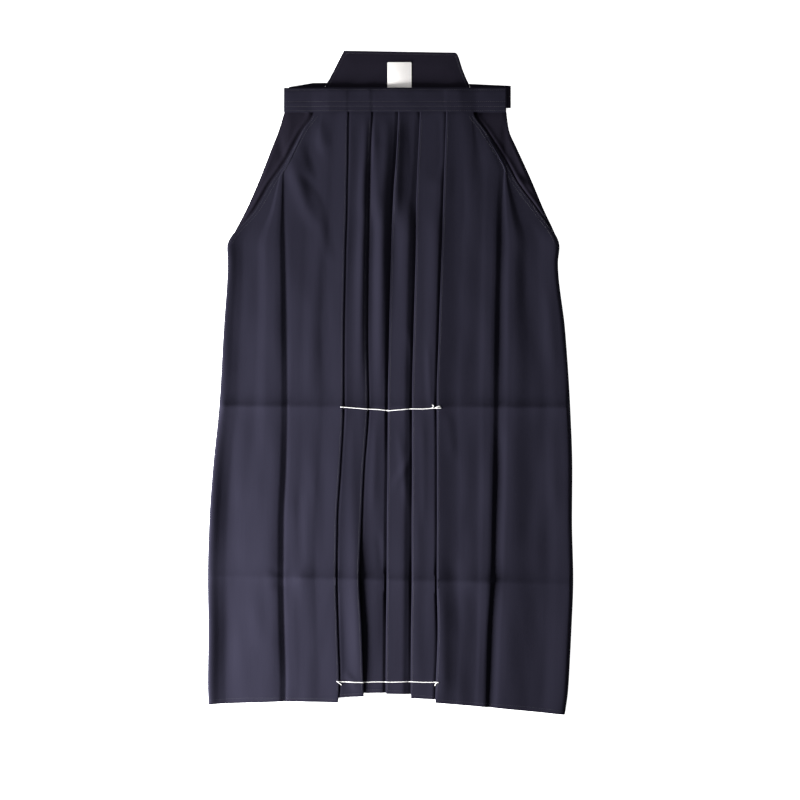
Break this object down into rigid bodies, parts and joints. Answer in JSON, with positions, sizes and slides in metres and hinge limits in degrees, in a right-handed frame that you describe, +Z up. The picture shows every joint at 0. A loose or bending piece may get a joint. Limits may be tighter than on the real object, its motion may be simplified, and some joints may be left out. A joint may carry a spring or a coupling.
{
  "type": "hakama trousers",
  "caption": "Wide pleated wrap trousers laid flat, front up, with a waistband, folded-back ties and a stiff trapezoid back board.",
  "frame": {"origin": "centre of the bounding box, on the surface that the garment lies on", "axes": "+Z up from the surface through the front of the garment, +Y from the hem to the back board, +X to the viewer's right"},
  "size_m": [0.5842, 1.062, 0.0099],
  "materials": {
    "navy_cloth": "fine plain-woven navy polyester with a soft sheen",
    "navy_cloth_inside": "the inside face of the same cloth, duller",
    "label_cloth": "off-white woven label, bare"
  },
  "bodies": {
    "root": {"front_left": "navy_cloth", "front_right": "navy_cloth", "back_left": "navy_cloth_inside", "back_right": "navy_cloth_inside", "front_band": "navy_cloth", "back_tie_left": "navy_cloth_inside", "back_tie_right": "navy_cloth_inside", "back_board": "navy_cloth_inside", "board_label": "label_cloth"}
  },
  "joints": []
}
